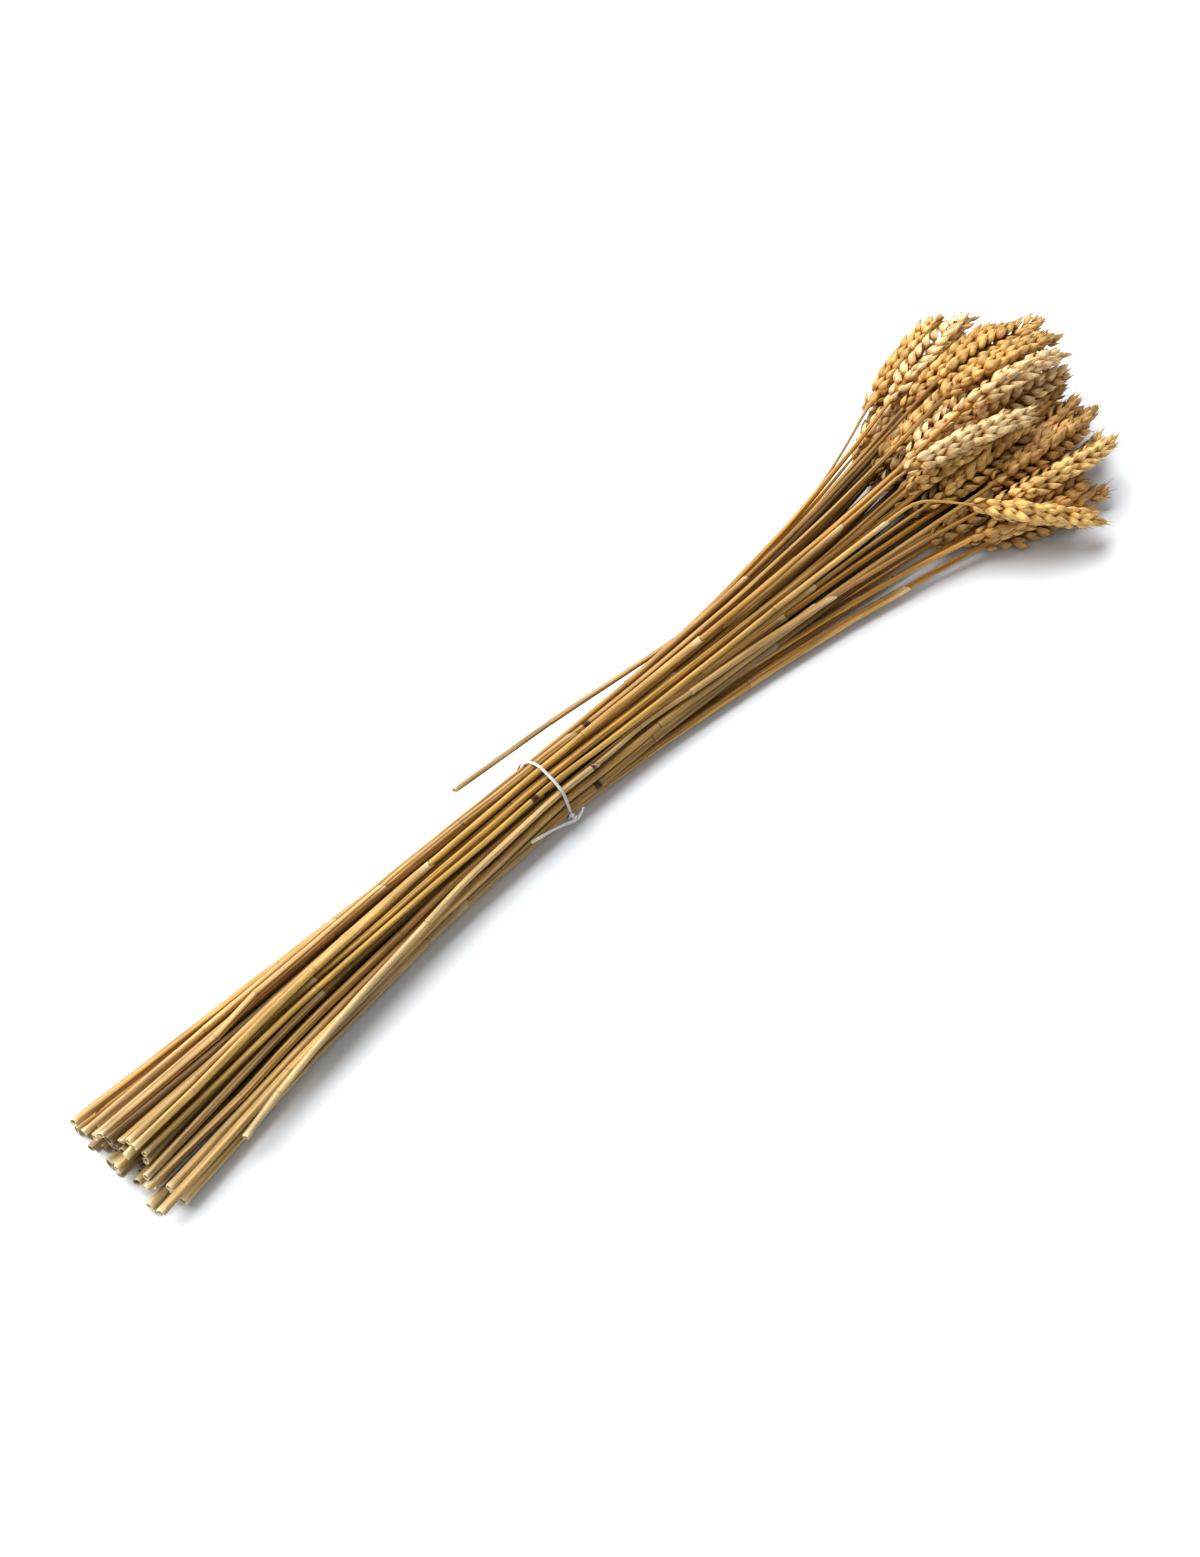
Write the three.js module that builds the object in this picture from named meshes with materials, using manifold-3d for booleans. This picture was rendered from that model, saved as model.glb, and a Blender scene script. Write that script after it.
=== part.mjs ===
// A bundle of dried wheat, tied once round its middle and lying on a table.
//
// Each stalk is one piece, as it grew: a straw that narrows from its cut end to
// its neck, with a step where a leaf sheath ends, and an ear of scales in two
// alternating rows. The straws are squeezed together at the tie and spread out
// towards both ends. One stalk has broken away below its last joint, so that its
// lower end points clear of the bundle. A flat twist tie goes once round the
// straws, and its two ends are twisted together and stand away.
//
// Millimetres. +X runs from the cut ends to the ears and +Z is up. The origin is
// the middle of the bundle's underside.

import * as THREE from "three";
import Module from "manifold-3d";

const V = (x, y, z) => new THREE.Vector3(x, y, z);
const UP = V(0, 0, 1);
const { lerp, smoothstep } = THREE.MathUtils;

// ---------------------------------------------------------------- dimensions

const CUT_X = -339; // where most straws are cut off
const TIE_X = -37; // the plane of the tie
const TIE_MIDDLE = V(TIE_X, 8, 18);
const CUT_MIDDLE = V(CUT_X, -5, 13);
const CUT_SPREAD = { across: 3, up: 0.8 }; // the cut ends' pile against the bundle at the tie
const CUT_ASTRAY = 7; // how far a cut end may lie aside of its place
const HEADS_Z = 26; // mid height of the ears
const HEADS_TO_TIE = { across: 0.25, up: 0.5 }; // a straw's place in the tie against its ear's
const GAP = 0.36; // air left between neighbours

const STRAW_R = { cut: 2.4, tie: 2, neck: 1 }; // half thickness along a straw
const TAPER = 1.3; // how late it narrows towards its neck
const HOLLOW = { deep: 9, bore: 0.66 }; // at the cut end: depth, and bore against thickness
const STRAW_SIDES = 6;
const FLAT = Math.cos(Math.PI / STRAW_SIDES); // centre to flat side, as a share of the radius
const SHEATH_STEP = 0.86; // a bare straw against one in its sheath

const EAR_LENGTH = 84;
const EAR_R = 6.6; // ear axis to the tips of its widest scales
const EAR_LEVELS = 9; // spikelets up each side of an ear
const EAR_CORE = { foot: 2, tip: 1.1 }; // half thickness of the stem in the ear, with its scales' roots
const EAR_THIN = 0.8; // an ear's thickness against its width
const SWELL = { up: 0.55, out: 1 }; // where a scale is fullest, in steps up the ear and against EAR_R
const POINT = { up: 1.32, out: 0.84 }; // where it ends in a point
const EAR_SHAPE = [0.6, 1, 1, 0.88, 0.4]; // half width at five points up an ear, against EAR_R

const TIE_WIDTH = 2.4; // the flat band
const TIE_THICK = 0.9;
const TIE_GAP = 0.55; // air left between the straws and the band
const TIE_LIFT = TIE_THICK + TIE_GAP + 0.45; // the tied straws stand off the table by more than the band
const KNOT_TURN = Math.PI * 1.06; // where the knot sits round the bundle, from +Y over the top
const KNOT_LENGTH = 4;
const SHORT_TAIL = [V(1, -0.6, 0.4), V(4, -0.4, 3), V(6, 0.2, 6)]; // both tails run on from the knot
const LONG_TAIL = [V(-1, -0.6, 0.4), V(-8, -0.6, 4), V(-20, -0.4, 8.5), V(-33, 0.3, 11)];

// The shares of a straw's length where it may bend: from its cut end to the tie,
// and from the tie to its ear.
const BENDS_BELOW = [0, 0.34, 0.7];
const BENDS_ABOVE = [0, 0.24, 0.48, 0.7, 0.88];
const EAR_BENDS = 4;
const FLARE_BELOW = 1.6; // how late the bundle widens on each side of the tie
const FLARE_ABOVE = 1.8;

// The ears that can be seen from above: where each starts and ends. A neck is a
// point that its straw bends over on the way, and a short straw is cut off this far
// from where the others are. The broken stalk starts at a cut of its own, bends at a
// joint, and is slimmer than the others.
const BROKEN = { cut: V(-71, 41, 14), joint: V(84, 30, 19), slim: 0.6 };
const SHOWN_EARS = [
  { foot: V(279, 62, 22), tip: V(361, 77, 26), ...BROKEN },
  { foot: V(279, 46, 34), tip: V(368, 60, 34) },
  { foot: V(250, 44, 26), tip: V(333, 57, 28) },
  { foot: V(279, 35, 38), tip: V(367, 38, 40) },
  { foot: V(299, 33, 46), tip: V(386, 24, 44) },
  { foot: V(292, 16, 54), tip: V(379, 6, 50) },
  { foot: V(251, 18, 45), tip: V(334, 19, 52) },
  { foot: V(282, 1, 58), tip: V(367, -10, 56) },
  { foot: V(246, 5, 52), tip: V(328, 5, 50) },
  { foot: V(282, -7, 46), tip: V(364, -15, 46) },
  { foot: V(278, -12, 36), tip: V(360, -16, 36) },
  { foot: V(235, 0, 58), tip: V(317, -28, 58) },
  { foot: V(230, -6, 46), tip: V(311, -15, 43) },
  { foot: V(240, -15, 36), tip: V(319, -24, 38) },
  { foot: V(275, -24, 34), tip: V(358, -22, 34) },
  { foot: V(284, -28, 24), tip: V(369, -28, 25) },
  { foot: V(270, -33, 30), tip: V(356, -38, 30) },
  { foot: V(277, -38, 18), tip: V(361, -43, 19) },
  { foot: V(265, -39, 39), tip: V(354, -59, 31), short: V(47, -5, 5) },
  { foot: V(246, -39, 22), tip: V(329, -55, 18) },
  { foot: V(256, -42, 14), tip: V(334, -68, 11) },
  { foot: V(250, -33, 42), tip: V(314, -86, 14), neck: V(232, -12, 46) },
  { foot: V(238, -16, 11), tip: V(306, -54, 8) },
];

// The ears under those lie in two layers of two rows each.
const HIDDEN_LAYERS = [
  { z: 8, across: 6, from: -22, to: 50 },
  { z: 22, across: 5, from: -26, to: 38 },
];
const HIDDEN_ROWS = [
  { x: 236, shift: 0.3, slant: 0.6 },
  { x: 286, shift: 0.7, slant: 0 },
]; // where the ears of a row start, and how far along its place across each one lies
const SLANT_FROM = 8; // past this y a slanted row starts later, by its slant a millimetre
const HIDDEN_FAN = 210; // the hidden ears point away from a spot this far behind their feet

// ---------------------------------------------------------------- chance

let seed = 20;
/** The next number of a fixed sequence that looks random, from low to high. */
function chance(low, high) {
  seed = (Math.imul(seed, 1664525) + 1013904223) >>> 0;
  return low + (high - low) * (seed / 4294967296);
}

// ---------------------------------------------------------------- the stalks' courses

/** The half thickness of a straw at x, when its ear starts at footX. */
function strawRadius(x, footX) {
  if (x < TIE_X) return lerp(STRAW_R.cut, STRAW_R.tie, (x - CUT_X) / (TIE_X - CUT_X));
  const up = Math.min((x - TIE_X) / (footX - TIE_X), 1);
  return lerp(STRAW_R.tie, STRAW_R.neck, up ** TAPER);
}

/** Every ear's place: the ones that show, and the hidden layers under them. */
function earPlaces() {
  const places = [...SHOWN_EARS];
  for (const { z, across, from, to } of HIDDEN_LAYERS) {
    for (const { x, shift, slant } of HIDDEN_ROWS) {
      for (let i = 0; i < across; i++) {
        const y = lerp(from, to, (i + shift) / across);
        const later = slant * Math.max(y - SLANT_FROM, 0);
        const foot = V(x + later + chance(-9, 9), y + chance(-2, 2), z + chance(-1, 3));
        const lean = V(1, y / HIDDEN_FAN + chance(-0.05, 0.05), chance(-0.04, 0.08)).normalize();
        places.push({ foot, tip: foot.clone().addScaledVector(lean, EAR_LENGTH) });
      }
    }
  }
  return places;
}

const PULL = { cutEnd: 0.2, bend: 0.5, ear: 0.12 }; // the share of the way back in each pass

/**
 * A stalk before it has found room among the others: a chain of points from its
 * cut end to the tip of its ear, each with a half thickness, and the points that
 * hold it in place. Its bends are the shape that it springs back to.
 */
function plannedStalk(place) {
  const { foot, tip, neck, short, cut, joint, slim } = place;
  const thick = chance(0.88, 1.18) * (slim ?? 1);
  const head = neck ?? foot;
  const fromMiddle = V(
    0,
    head.y * HEADS_TO_TIE.across,
    (head.z - HEADS_Z) * HEADS_TO_TIE.up + chance(-1.5, 1.5),
  );
  const atTie = joint ?? TIE_MIDDLE.clone().add(fromMiddle);
  const start = cut ?? CUT_MIDDLE.clone().add(
    V(
      chance(-7, 9),
      fromMiddle.y * CUT_SPREAD.across + chance(-CUT_ASTRAY, CUT_ASTRAY),
      fromMiddle.z * CUT_SPREAD.up + chance(-3, 3),
    ),
  );
  if (short) start.add(short);
  const points = [];
  for (const t of BENDS_BELOW) {
    const spread = cut ? t : 1 - (1 - t) ** FLARE_BELOW;
    points.push(start.clone().lerp(atTie, spread).setX(lerp(start.x, atTie.x, t)));
  }
  for (const t of BENDS_ABOVE) {
    points.push(atTie.clone().lerp(head, t ** FLARE_ABOVE).setX(lerp(atTie.x, head.x, t)));
  }
  if (neck) points.splice(-1, 1, neck.clone());
  const footAt = points.length;
  const holds = [{ at: 0, to: start.clone(), pull: PULL.cutEnd }];
  if (cut) points.slice(0, 4).forEach((p, i) => holds.push({ at: i, to: p.clone(), pull: PULL.bend }));
  if (neck) holds.push({ at: footAt - 1, to: neck.clone(), pull: PULL.bend });
  for (let i = 0; i <= EAR_BENDS; i++) {
    const p = foot.clone().lerp(tip, i / EAR_BENDS);
    points.push(p);
    holds.push({ at: footAt + i, to: p.clone(), pull: PULL.ear });
  }
  const radii = points.map((p, i) =>
    i < footAt ? thick * strawRadius(p.x, foot.x) : EAR_R * EAR_SHAPE[i - footAt],
  );
  const lengths = points.slice(1).map((p, i) => p.distanceTo(points[i]));
  const springs = points.slice(1, -1).map((p, i) => {
    const share = lengths[i] / (lengths[i] + lengths[i + 1]);
    return { share, bend: p.clone().sub(points[i].clone().lerp(points[i + 2], share)) };
  });
  const tieAt = cut ? -1 : BENDS_BELOW.length;
  return { points, radii, lengths, springs, holds, footAt, tieAt };
}

/** Where two straight pieces a-b and c-d come nearest, as a share of each. */
function nearestShares(a, b, c, d) {
  const u = b.clone().sub(a);
  const v = d.clone().sub(c);
  const w = a.clone().sub(c);
  const uu = u.dot(u);
  const uv = u.dot(v);
  const vv = v.dot(v);
  const uw = u.dot(w);
  const vw = v.dot(w);
  const clamp = (x) => Math.min(1, Math.max(0, x));
  const span = uu * vv - uv * uv;
  let s = span > 1e-9 ? clamp((uv * vw - vv * uw) / span) : 0.5;
  const t = clamp((uv * s + vw) / vv);
  s = clamp((uv * t - uw) / uu);
  return [s, t];
}

/** The pairs of straight pieces, of different stalks, that are near enough to touch soon. */
function nearPairs(stalks, reach) {
  const pieces = stalks.flatMap((stalk, own) =>
    stalk.lengths.map((length, i) => ({
      own,
      a: stalk.points[i],
      b: stalk.points[i + 1],
      ra: stalk.radii[i],
      rb: stalk.radii[i + 1],
      middle: stalk.points[i].clone().add(stalk.points[i + 1]).multiplyScalar(0.5),
      half: length / 2 + Math.max(stalk.radii[i], stalk.radii[i + 1]),
    })),
  );
  const pairs = [];
  pieces.forEach((p, i) => {
    for (let j = i + 1; j < pieces.length; j++) {
      const q = pieces[j];
      if (p.own === q.own || p.middle.distanceTo(q.middle) > p.half + q.half + reach) continue;
      const [s, t] = nearestShares(p.a, p.b, q.a, q.b);
      const away = p.a.clone().lerp(p.b, s).distanceTo(q.a.clone().lerp(q.b, t));
      if (away < p.ra + q.ra + EAR_R + reach) pairs.push([p, q]);
    }
  });
  return pairs;
}

/** Moves two pieces apart where they come nearer than their thicknesses allow. */
function moveApart([p, q]) {
  const [s, t] = nearestShares(p.a, p.b, q.a, q.b);
  const apart = q.a.clone().lerp(q.b, t).sub(p.a.clone().lerp(p.b, s));
  const distance = apart.length();
  const needed = lerp(p.ra, p.rb, s) + lerp(q.ra, q.rb, t) + GAP;
  if (distance >= needed) return;
  const push = (needed - distance) / ((1 - s) ** 2 + s ** 2 + (1 - t) ** 2 + t ** 2);
  if (distance > 1e-6) apart.divideScalar(distance);
  else apart.copy(UP);
  p.a.addScaledVector(apart, -push * (1 - s));
  p.b.addScaledVector(apart, -push * s);
  q.a.addScaledVector(apart, push * (1 - t));
  q.b.addScaledVector(apart, push * t);
}

/** Lets a stalk spring back a little towards its own bends, and keeps its length. */
function stiffen({ points, lengths, springs }, amount) {
  springs.forEach(({ share, bend }, i) => {
    const off = points[i].clone().lerp(points[i + 2], share).add(bend).sub(points[i + 1]);
    points[i + 1].addScaledVector(off, 0.5 * amount);
    points[i].addScaledVector(off, -0.5 * amount * (1 - share));
    points[i + 2].addScaledVector(off, -0.5 * amount * share);
  });
  lengths.forEach((length, i) => {
    const along = points[i + 1].clone().sub(points[i]);
    const off = (along.length() - length) / along.length();
    points[i].addScaledVector(along, off * 0.25);
    points[i + 1].addScaledVector(along, -off * 0.25);
  });
}

/** Keeps a stalk above the table, and its tied point in the plane of the tie. */
function rest(stalk) {
  stalk.points.forEach((p, i) => {
    const below = i < stalk.footAt ? stalk.radii[i] * FLAT : stalk.radii[i];
    p.z = Math.max(p.z, i === stalk.tieAt ? below + TIE_LIFT : below);
  });
  if (stalk.tieAt >= 0) stalk.points[stalk.tieAt].x = TIE_X;
}

const PASSES = { settling: 420, fading: 60, parting: 120 };
const PAIRS_EVERY = 15; // passes between two searches for neighbours
const PAIRS_REACH = 6;
const STIFFNESS = { settling: 0.35, parting: 0.08 };
const SQUEEZE = [[-1, 0.01], [0, 0.05], [1, 0.015]]; // the tie's grip on the points near it
const WEIGHT = 0.12; // how far a free point would sink in a pass
const NEARLY_DOWN = 0.5; // a cut end this close to the table lies flat on it

/**
 * Lets the stalks find room: they are squeezed together at the tie, pulled to
 * where they are held, weighed down and kept stiff, and moved clear of each
 * other, until only the last of these still acts. The lowest ones then lie flat.
 */
function settle(stalks) {
  let pairs = [];
  for (let pass = 0; pass < PASSES.settling + PASSES.parting; pass++) {
    const left = PASSES.settling - pass;
    const held = smoothstep(left, 0, PASSES.fading);
    const stiffness = left > 0 ? STIFFNESS.settling : STIFFNESS.parting;
    if (pass % PAIRS_EVERY === 0) pairs = nearPairs(stalks, PAIRS_REACH);
    for (const stalk of stalks) {
      for (const { at, to, pull } of stalk.holds) stalk.points[at].lerp(to, pull * held);
      if (stalk.tieAt >= 0) {
        for (const [i, grip] of SQUEEZE) {
          const p = stalk.points[stalk.tieAt + i];
          const inwards = TIE_MIDDLE.clone().sub(p).setX(0);
          p.addScaledVector(inwards, grip * held);
        }
      }
      for (let i = 0; i <= stalk.footAt; i++) stalk.points[i].z -= WEIGHT * held;
      stiffen(stalk, stiffness);
    }
    pairs.forEach(moveApart);
    stalks.forEach(rest);
  }
  for (const { points, radii } of stalks) {
    for (let i = 0; i < BENDS_BELOW.length; i++) {
      const down = radii[i] * FLAT;
      if (points[i].z < down + NEARLY_DOWN) points[i].z = down;
    }
  }
}

// ---------------------------------------------------------------- solids

/** A closed surface under construction. */
class Shell {
  points = [];
  faces = [];

  add(...points) {
    points.forEach((p) => this.points.push(p));
    return points.map((_, i) => this.points.length - points.length + i);
  }

  /** The side of a tube between two rings of equal count. */
  band(low, high) {
    low.forEach((a, i) => {
      const j = (i + 1) % low.length;
      this.faces.push([a, low[j], high[j]], [a, high[j], high[i]]);
    });
  }

  /** The side of a tube between two rings of different counts. */
  zip(low, high) {
    const away = (j) => this.points[low[0]].distanceTo(this.points[high[j]]);
    const turn = high.reduce((best, _, j) => (away(j) < away(best) ? j : best), 0);
    let i = 0;
    let j = 0;
    while (i < low.length || j < high.length) {
      const a = low[i % low.length];
      const b = high[(j + turn) % high.length];
      if ((i + 1) / low.length <= (j + 1) / high.length) {
        i++;
        this.faces.push([a, low[i % low.length], b]);
      } else {
        j++;
        this.faces.push([a, high[(j + turn) % high.length], b]);
      }
    }
  }

  /** A flat end that faces back along the tube. */
  cap(ring) {
    for (let i = 1; i < ring.length - 1; i++) this.faces.push([ring[0], ring[i + 1], ring[i]]);
  }

  /** A flat end that faces on along the tube. */
  endCap(ring) {
    for (let i = 1; i < ring.length - 1; i++) this.faces.push([ring[0], ring[i], ring[i + 1]]);
  }

  geometry() {
    const at = this.points.flatMap((p) => p.toArray());
    const geometry = new THREE.BufferGeometry();
    geometry.setAttribute("position", new THREE.Float32BufferAttribute(at, 3));
    geometry.setIndex(this.faces.flat());
    return geometry;
  }
}

/** Level left and upward directions across a course that runs along forward. */
function acrossOf(forward) {
  const left = UP.clone().cross(forward).normalize();
  return { left, over: forward.clone().cross(left).normalize() };
}

/** The corners of a straw's section: upright, and with a flat side below. */
function strawRing(shell, centre, forward, radius) {
  const { left } = acrossOf(forward.clone().setZ(0));
  return shell.add(
    ...Array.from({ length: STRAW_SIDES }, (_, i) => {
      const turn = ((i + 0.5) * 2 * Math.PI) / STRAW_SIDES - Math.PI / 2;
      return centre
        .clone()
        .addScaledVector(left, radius * Math.cos(turn))
        .addScaledVector(UP, radius * Math.sin(turn));
    }),
  );
}

/**
 * The straw of a stalk, from the floor of its hollow cut end to the foot of its
 * ear. It is thicker up to the end of its leaf sheath. Returns its last ring.
 */
function addStraw(shell, stalk) {
  const { points, radii, footAt, sheathPiece, sheathShare } = stalk;
  const piece = (i) => points[i + 1].clone().sub(points[i]);
  const floor = points[0].clone().addScaledVector(piece(0).normalize(), HOLLOW.deep);
  const rings = [floor, points[0]].map((at) => strawRing(shell, at, piece(0), radii[0] * HOLLOW.bore));
  for (let i = 0; i <= footAt; i++) {
    const forward = points[i + 1].clone().sub(points[Math.max(i - 1, 0)]);
    const bare = i > sheathPiece ? SHEATH_STEP : 1;
    const radius = i < footAt ? radii[i] : STRAW_R.neck;
    rings.push(strawRing(shell, points[i], forward, radius * bare));
    if (i === sheathPiece) {
      const end = points[i].clone().addScaledVector(piece(i), sheathShare);
      const past = end.clone().addScaledVector(piece(i).normalize(), 1);
      const rim = lerp(radii[i], radii[i + 1], sheathShare);
      rings.push(strawRing(shell, end, piece(i), rim));
      rings.push(strawRing(shell, past, piece(i), rim * SHEATH_STEP));
    }
  }
  shell.cap(rings[0]);
  rings.slice(1).forEach((ring, i) => shell.band(rings[i], ring));
  return rings.at(-1);
}

/**
 * The ear on top of a straw. Its slim stem has four corners, one on each row of
 * spikelets and one in each valley between the rows, and they climb by half a
 * step from row to row. Each face of the stem between two levels carries a scale:
 * a keel that swells out and ends in a point over the scale above.
 */
function addEar(shell, stalk, strawEnd) {
  const { points, footAt, roll } = stalk;
  const axis = new THREE.CatmullRomCurve3(points.slice(footAt));
  const step = 1 / (EAR_LEVELS + 1.1);
  const shape = (t) => {
    const at = Math.min(Math.max(t, 0), 1) * EAR_BENDS;
    const i = Math.min(Math.floor(at), EAR_BENDS - 1);
    return lerp(EAR_SHAPE[i], EAR_SHAPE[i + 1], at - i);
  };
  const spot = (t, turn, radius) => {
    const along = Math.min(t, 1);
    const forward = axis.getTangent(along);
    const { left, over } = acrossOf(forward);
    const [c, s] = [Math.cos(turn), Math.sin(turn) * EAR_THIN];
    return axis
      .getPoint(along)
      .addScaledVector(left, radius * (c * Math.cos(roll) - s * Math.sin(roll)))
      .addScaledVector(over, radius * (c * Math.sin(roll) + s * Math.cos(roll)));
  };
  const climb = [0.3, 0.55, 0.8, 0.55];
  const core = [];
  for (let level = 0; level <= EAR_LEVELS; level++) {
    const corners = climb.map((c, i) => {
      const t = (level + c) * step;
      return spot(t, (i * Math.PI) / 2, lerp(EAR_CORE.foot, EAR_CORE.tip, t));
    });
    core.push(shell.add(...corners));
  }
  shell.zip(strawEnd, core[0]);
  for (let level = 0; level < EAR_LEVELS; level++) {
    for (let i = 0; i < 4; i++) {
      const j = (i + 1) % 4;
      const low = (level + (climb[i] + climb[j]) / 2) * step;
      const turn = ((i + 0.5) * Math.PI) / 2;
      const onScale = ({ up, out }) => spot(low + up * step, turn, EAR_R * out * shape(low + up * step));
      const [a, b, c, d] = [core[level][i], core[level][j], core[level + 1][j], core[level + 1][i]];
      const [m, t] = shell.add(onScale(SWELL), onScale(POINT));
      shell.faces.push([a, b, m], [b, c, t], [b, t, m], [a, m, t], [a, t, d], [c, d, t]);
    }
  }
  const [tip] = shell.add(axis.getPoint(1));
  core[EAR_LEVELS].forEach((a, i, ring) => shell.faces.push([a, ring[(i + 1) % 4], tip]));
}

/** One whole stalk. */
function stalkGeometry(stalk) {
  const shell = new Shell();
  addEar(shell, stalk, addStraw(shell, stalk));
  return shell.geometry();
}

// ---------------------------------------------------------------- the twist tie

const HULL_STEPS = 32;
const TWIST = { steps: 8, turns: 1.25 };
const TAIL = { steps: 9, turns: 0.5, narrow: 0.8 };

/**
 * Where a taut band lies round the tied straws: their hull in the plane of the
 * tie, and outwards by half the band's thickness and a gap. Each row of the
 * result is a point of the band's middle and the direction that faces outwards.
 */
function bandCourse(stalks) {
  const tied = stalks.filter((stalk) => stalk.tieAt >= 0);
  const straws = tied.map(({ points, radii, tieAt }) => ({ at: points[tieAt], r: radii[tieAt] }));
  return Array.from({ length: HULL_STEPS }, (_, i) => {
    const turn = KNOT_TURN + (i * 2 * Math.PI) / HULL_STEPS;
    const out = V(0, Math.cos(turn), Math.sin(turn));
    const reach = ({ at, r }) => at.dot(out) + r;
    const last = straws.reduce((a, b) => (reach(a) > reach(b) ? a : b));
    const away = last.r + TIE_GAP + TIE_THICK / 2;
    return { out, at: last.at.clone().setX(TIE_X).addScaledVector(out, away) };
  });
}

/** The corners of the flat band's section, with its width along wide and its face along out. */
function bandRing(shell, at, wide, out, width, thick) {
  const corner = (w, t) =>
    at
      .clone()
      .addScaledVector(wide, (w * width) / 2)
      .addScaledVector(out, (t * thick) / 2);
  return shell.add(corner(1, -1), corner(1, 1), corner(-1, 1), corner(-1, -1));
}

/** A strip of the tie that runs along a course, and turns about it as it goes. */
function stripGeometry(course, { steps, turns }, width, thick) {
  const shell = new Shell();
  const rings = Array.from({ length: steps + 1 }, (_, i) => {
    const t = i / steps;
    const { left, over } = acrossOf(course.getTangent(t));
    const turn = turns * 2 * Math.PI * t;
    const wide = over.clone().multiplyScalar(Math.cos(turn)).addScaledVector(left, -Math.sin(turn));
    const out = left.clone().multiplyScalar(Math.cos(turn)).addScaledVector(over, Math.sin(turn));
    return bandRing(shell, course.getPoint(t), wide, out, width, thick);
  });
  shell.endCap(rings[0]);
  rings.slice(1).forEach((ring, i) => shell.band(ring, rings[i]));
  shell.cap(rings.at(-1));
  return shell.geometry();
}

/** The whole tie: its loop, the knot where its ends are twisted together, and its two tails. */
function tieGeometry(stalks, wasm) {
  const course = bandCourse(stalks);
  const loop = new Shell();
  const rings = course.map(({ at, out }) => bandRing(loop, at, V(1, 0, 0), out, TIE_WIDTH, TIE_THICK));
  rings.forEach((ring, i) => loop.band(ring, rings[(i + 1) % rings.length]));
  const { at, out } = course[0];
  const knotEnd = at.clone().addScaledVector(out, KNOT_LENGTH);
  const knotLine = new THREE.LineCurve3(at, knotEnd);
  const knot = stripGeometry(knotLine, TWIST, TIE_WIDTH, TIE_THICK * 2);
  const tails = [SHORT_TAIL, LONG_TAIL].map((route) => {
    const root = knotEnd.clone().addScaledVector(out, -TIE_THICK);
    const tail = new THREE.CatmullRomCurve3([root, ...route.map((p) => knotEnd.clone().add(p))]);
    return stripGeometry(tail, TAIL, TIE_WIDTH * TAIL.narrow, TIE_THICK);
  });
  const solids = [loop.geometry(), knot, ...tails].map((geometry) => solidOf(geometry, wasm));
  return geometryOf(solids.reduce((whole, piece) => whole.add(piece)));
}

/** A closed geometry as a solid that can be joined to others. */
function solidOf(geometry, wasm) {
  const vertProperties = geometry.getAttribute("position").array;
  const triVerts = new Uint32Array(geometry.getIndex().array);
  return new wasm.Manifold(new wasm.Mesh({ numProp: 3, vertProperties, triVerts }));
}

/** A joined solid as a geometry again. */
function geometryOf(solid) {
  const { vertProperties, triVerts } = solid.getMesh();
  const geometry = new THREE.BufferGeometry();
  geometry.setAttribute("position", new THREE.BufferAttribute(vertProperties, 3));
  geometry.setIndex(new THREE.BufferAttribute(triVerts, 1));
  return geometry;
}

// ---------------------------------------------------------------- the bundle

const stalks = earPlaces().map(plannedStalk);
settle(stalks);
for (const stalk of stalks) {
  stalk.roll = chance(0, Math.PI);
  stalk.sheathPiece = Math.floor(chance(1, 7));
  stalk.sheathShare = chance(0.2, 0.7);
}

const wasm = await Module();
wasm.setup();

const bundle = new THREE.Group();
stalks.forEach((stalk, i) => {
  const straw = new THREE.MeshStandardMaterial({ color: 0xc9a468, roughness: 0.62, metalness: 0 });
  straw.color.offsetHSL(chance(-0.01, 0.01), 0, chance(-0.06, 0.04));
  const mesh = new THREE.Mesh(stalkGeometry(stalk), straw);
  mesh.name = `stalk_${String(i + 1).padStart(2, "0")}`;
  bundle.add(mesh);
});

const paper = new THREE.MeshStandardMaterial({ color: 0xe4e3de, roughness: 0.5, metalness: 0 });
const tie = new THREE.Mesh(tieGeometry(stalks, wasm), paper);
tie.name = "twist_tie";
bundle.add(tie);

const middle = new THREE.Box3().setFromObject(bundle);
bundle.position.set(
  -(middle.min.x + middle.max.x) / 2,
  -(middle.min.y + middle.max.y) / 2,
  -middle.min.z,
);

export default bundle;
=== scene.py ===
"""A bundle of dried wheat, tied once round its middle and lying on a pale table.

Each stalk is dressed where its solid lies: the straw with its joints, leaf
sheaths and hollow cut end, and the ear with its husks. A paper twist tie holds
the bundle together. Metres, with +X from the cut ends to the ears and +Z up.
"""

import bpy
import numpy as np
from mathutils import Matrix, Vector


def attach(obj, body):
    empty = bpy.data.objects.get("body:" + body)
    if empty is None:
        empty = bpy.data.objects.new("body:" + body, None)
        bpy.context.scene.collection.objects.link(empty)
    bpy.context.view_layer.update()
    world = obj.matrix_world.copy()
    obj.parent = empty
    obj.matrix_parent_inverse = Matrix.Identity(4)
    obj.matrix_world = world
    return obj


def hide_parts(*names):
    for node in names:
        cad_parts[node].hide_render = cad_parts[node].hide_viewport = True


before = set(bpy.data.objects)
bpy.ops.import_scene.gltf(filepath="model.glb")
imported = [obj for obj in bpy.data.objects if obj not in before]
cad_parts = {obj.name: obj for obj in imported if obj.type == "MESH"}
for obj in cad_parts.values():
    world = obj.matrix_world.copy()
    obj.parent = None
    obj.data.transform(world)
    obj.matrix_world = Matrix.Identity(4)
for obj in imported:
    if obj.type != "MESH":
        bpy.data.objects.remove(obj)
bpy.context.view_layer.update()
MM = 0.001

# ------------------------------------------------------------------ the view
# The bundle lies corner to corner in the picture and is seen from above, from
# the side that its shadow falls to. The lens is long, so it looks nearly flat.

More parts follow.
